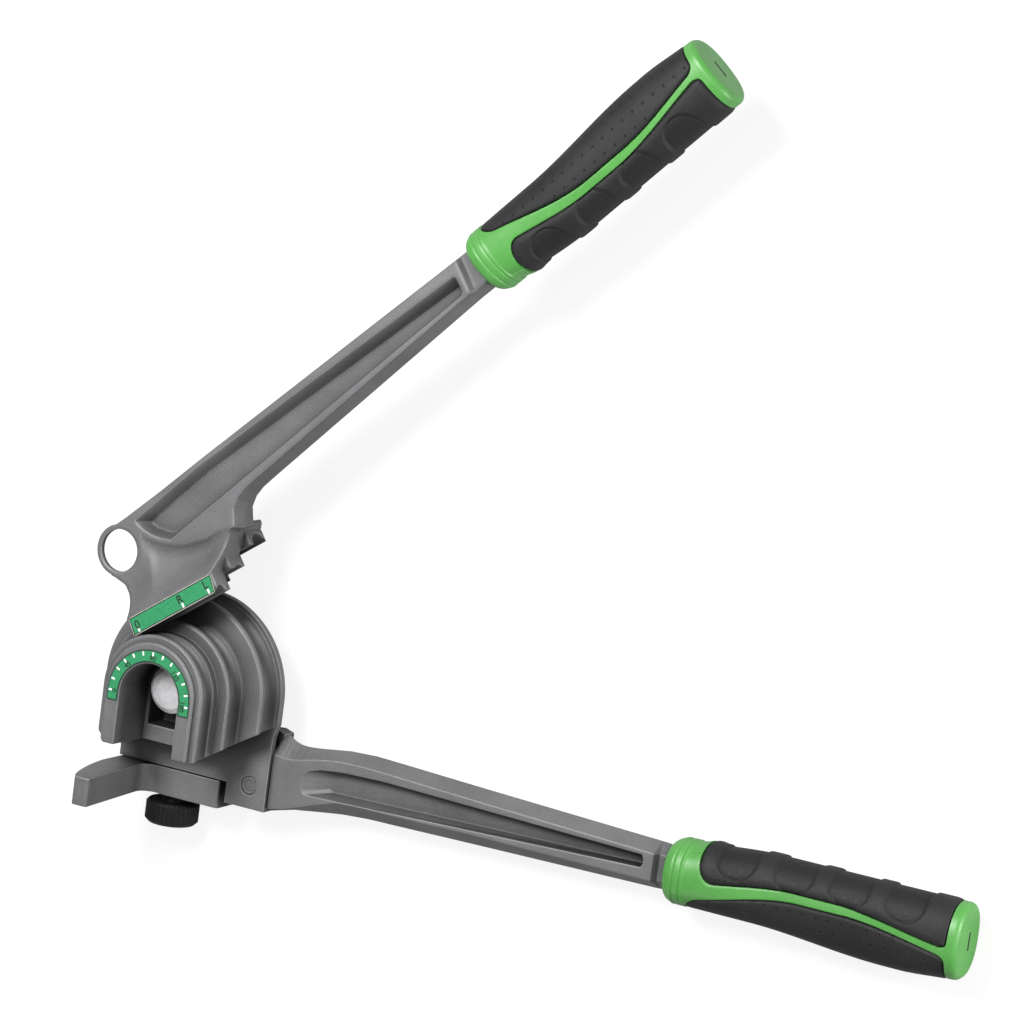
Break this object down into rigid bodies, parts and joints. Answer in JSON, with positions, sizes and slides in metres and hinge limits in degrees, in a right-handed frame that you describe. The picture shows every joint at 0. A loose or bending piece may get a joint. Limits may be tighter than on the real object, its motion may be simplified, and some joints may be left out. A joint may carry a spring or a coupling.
{
  "type": "lever tube bender",
  "caption": "Hand lever tube bender with a stepped forming die, a swinging lever with a grooved shoe and angle scales, a sliding tube clamp with a thumb screw, and soft grips.",
  "frame": {"origin": "on the pivot axis, in the bench plane that the pin's rear end and the lever's head lie on", "axes": "+Z along the pivot axis, out of the scale side; +X along the lower lever, towards its grip"},
  "size_m": [0.3794, 0.3491, 0.07],
  "materials": {
    "cast_grey": "satin gunmetal coat on die-cast aluminium",
    "label_green": "printed green scale plate",
    "steel": "turned, bright",
    "bronze": "sintered bronze",
    "black_steel": "black oxide",
    "black_plastic": "moulded, fine ribs",
    "grip_green": "hard moulded plastic, satin",
    "grip_black": "soft moulded rubber, matt"
  },
  "bodies": {
    "lower_frame": {"forming_die": "cast_grey", "angle_scale": "label_green", "lower_lever": "cast_grey", "locating_dowel": "cast_grey", "base_screws_set": "steel", "pivot_pin": "steel", "thrust_washer": "steel", "retaining_ring": "steel", "lower_grip_core": "grip_green", "lower_finger_pad": "grip_black", "lower_palm_pad": "grip_black"},
    "bending_lever": {"upper_lever": "cast_grey", "pivot_bush": "bronze", "shoe_scale": "label_green", "upper_grip_core": "grip_green", "upper_finger_pad": "grip_black", "upper_palm_pad": "grip_black"},
    "clamp": {"tube_clamp": "cast_grey"},
    "screw_washer": {"clamp_washer": "black_steel"},
    "thumb_screw": {"clamp_stud": "black_steel", "thumb_knob": "black_plastic"}
  },
  "joints": [
    {"name": "lever_swing", "type": "hinge", "parent": "lower_frame", "child": "bending_lever", "pos_m": [0, 0, 0.014], "axis": [0, 0, -1], "range_deg": [-54.5, 125.5]},
    {"name": "clamp_slide", "type": "slide", "parent": "lower_frame", "child": "clamp", "axis": [-1, 0, 0], "range_m": [0, 0.02]},
    {"name": "screw_lift", "type": "slide", "parent": "lower_frame", "child": "screw_washer", "axis": [0, -1, 0], "range_m": [0, 0.001]},
    {"name": "screw_turn", "type": "hinge", "parent": "screw_washer", "child": "thumb_screw", "pos_m": [-0.012, -0.055, 0.012], "axis": [0, -1, 0], "range_deg": [0, 360]}
  ],
  "couplings": [
    {"joint": "screw_lift", "follows": "screw_turn", "m_per_rad": 0.00015915}
  ]
}
